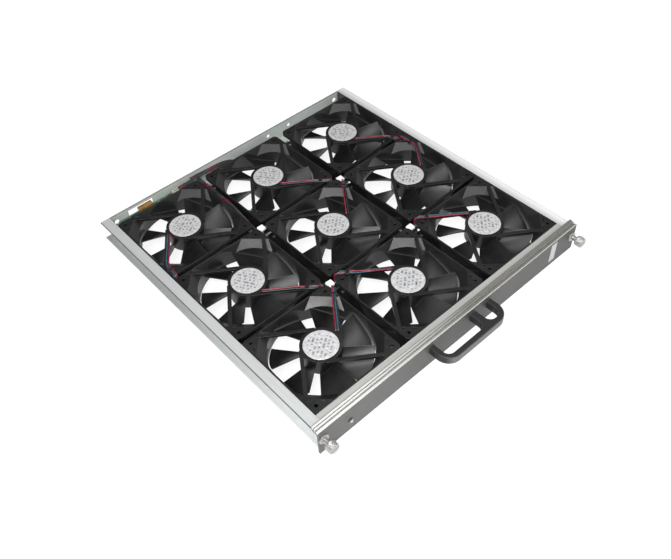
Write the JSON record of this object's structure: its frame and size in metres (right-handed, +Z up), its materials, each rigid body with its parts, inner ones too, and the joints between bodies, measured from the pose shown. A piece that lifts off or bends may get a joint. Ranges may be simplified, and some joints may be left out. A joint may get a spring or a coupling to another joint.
{
  "type": "fan tray",
  "caption": "Slide-in fan tray: a grid of axial fans between two side rails, behind a ribbed front panel with a pull handle and captive thumbscrews.",
  "frame": {"origin": "under the middle fan's axis, on the plane of the side rails' underside, where the tray slides on its runners", "axes": "+X along the front panel to the right seen from the front, +Y to the rear, the way the tray slides in, +Z up, the way the air goes"},
  "size_m": [0.4074, 0.4382, 0.04],
  "materials": {
    "rail_metal": "matte",
    "wall_sheet": "satin",
    "strip_metal": "matte",
    "panel_metal": "satin",
    "handle_metal": "satin",
    "screw_steel": "satin",
    "screw_nickel": "polished",
    "ferrule_nickel": "polished",
    "ring_steel": "satin",
    "stator_steel": "satin",
    "bearing_bronze": "matte",
    "rotor_steel": "satin",
    "frame_plastic": "satin",
    "blade_plastic": "satin",
    "red_wire": "gloss",
    "blue_wire": "gloss",
    "black_wire": "gloss",
    "bundle_wire": "gloss",
    "post_nylon": "satin",
    "board_green": "satin",
    "standoff_brass": "satin",
    "plug_tan": "satin",
    "header_white": "satin",
    "lamp_lens": "gloss"
  },
  "bodies": {
    "tray": {"left_rail": "rail_metal", "right_rail": "rail_metal", "left_bearer": "wall_sheet", "right_bearer": "wall_sheet", "rear_wall": "wall_sheet", "front_wall": "strip_metal", "front_panel": "panel_metal", "pull_handle": "handle_metal", "handle_screws": "screw_steel", "panel_screws": "screw_steel", "frame_rivets": "screw_steel", "fan_screws": "screw_steel", "motor_stators": "stator_steel", "sleeve_bearings": "bearing_bronze", "red_leads": "red_wire", "blue_leads": "blue_wire", "black_leads": "black_wire", "left_bundle": "bundle_wire", "right_bundle": "bundle_wire", "wire_posts": "post_nylon", "circuit_board": "board_green", "board_standoffs": "standoff_brass", "backplane_plug": "plug_tan", "lead_headers": "header_white", "screw_ferrules": "ferrule_nickel", "status_lamp": "lamp_lens", "fan_frame_front_left": "frame_plastic", "fan_frame_front_middle": "frame_plastic", "fan_frame_front_right": "frame_plastic", "fan_frame_middle_left": "frame_plastic", "fan_frame_centre": "frame_plastic", "fan_frame_middle_right": "frame_plastic", "fan_frame_rear_left": "frame_plastic", "fan_frame_rear_middle": "frame_plastic", "fan_frame_rear_right": "frame_plastic"},
    "rotor_front_left": {"impeller_front_left": "blade_plastic", "rotor_core_front_left": "rotor_steel"},
    "rotor_front_middle": {"impeller_front_middle": "blade_plastic", "rotor_core_front_middle": "rotor_steel"},
    "rotor_front_right": {"impeller_front_right": "blade_plastic", "rotor_core_front_right": "rotor_steel"},
    "rotor_middle_left": {"impeller_middle_left": "blade_plastic", "rotor_core_middle_left": "rotor_steel"},
    "rotor_centre": {"impeller_centre": "blade_plastic", "rotor_core_centre": "rotor_steel"},
    "rotor_middle_right": {"impeller_middle_right": "blade_plastic", "rotor_core_middle_right": "rotor_steel"},
    "rotor_rear_left": {"impeller_rear_left": "blade_plastic", "rotor_core_rear_left": "rotor_steel"},
    "rotor_rear_middle": {"impeller_rear_middle": "blade_plastic", "rotor_core_rear_middle": "rotor_steel"},
    "rotor_rear_right": {"impeller_rear_right": "blade_plastic", "rotor_core_rear_right": "rotor_steel"},
    "left_ring": {"left_retaining_ring": "ring_steel"},
    "left_screw": {"left_thumbscrew": "screw_nickel"},
    "right_ring": {"right_retaining_ring": "ring_steel"},
    "right_screw": {"right_thumbscrew": "screw_nickel"}
  },
  "joints": [
    {"name": "spin_front_left", "type": "hinge", "parent": "tray", "child": "rotor_front_left", "pos_m": [-0.1306, -0.126, 0.0133], "axis": [0, 0, 1], "continuous": true},
    {"name": "spin_front_middle", "type": "hinge", "parent": "tray", "child": "rotor_front_middle", "pos_m": [0, -0.126, 0.0133], "axis": [0, 0, 1], "continuous": true},
    {"name": "spin_front_right", "type": "hinge", "parent": "tray", "child": "rotor_front_right", "pos_m": [0.1306, -0.126, 0.0133], "axis": [0, 0, 1], "continuous": true},
    {"name": "spin_middle_left", "type": "hinge", "parent": "tray", "child": "rotor_middle_left", "pos_m": [-0.1306, 0, 0.0133], "axis": [0, 0, 1], "continuous": true},
    {"name": "spin_centre", "type": "hinge", "parent": "tray", "child": "rotor_centre", "pos_m": [0, 0, 0.0133], "axis": [0, 0, 1], "continuous": true},
    {"name": "spin_middle_right", "type": "hinge", "parent": "tray", "child": "rotor_middle_right", "pos_m": [0.1306, 0, 0.0133], "axis": [0, 0, 1], "continuous": true},
    {"name": "spin_rear_left", "type": "hinge", "parent": "tray", "child": "rotor_rear_left", "pos_m": [-0.1306, 0.126, 0.0133], "axis": [0, 0, 1], "continuous": true},
    {"name": "spin_rear_middle", "type": "hinge", "parent": "tray", "child": "rotor_rear_middle", "pos_m": [0, 0.126, 0.0133], "axis": [0, 0, 1], "continuous": true},
    {"name": "spin_rear_right", "type": "hinge", "parent": "tray", "child": "rotor_rear_right", "pos_m": [0.1306, 0.126, 0.0133], "axis": [0, 0, 1], "continuous": true},
    {"name": "left_screw_push", "type": "slide", "parent": "tray", "child": "left_ring", "axis": [0, 1, 0], "range_m": [0, 0.0055]},
    {"name": "left_screw_turn", "type": "hinge", "parent": "left_ring", "child": "left_screw", "pos_m": [-0.1975, -0.205, 0.0133], "axis": [0, 1, 0], "continuous": true},
    {"name": "right_screw_push", "type": "slide", "parent": "tray", "child": "right_ring", "axis": [0, 1, 0], "range_m": [0, 0.0055]},
    {"name": "right_screw_turn", "type": "hinge", "parent": "right_ring", "child": "right_screw", "pos_m": [0.1975, -0.205, 0.0133], "axis": [0, 1, 0], "continuous": true}
  ]
}
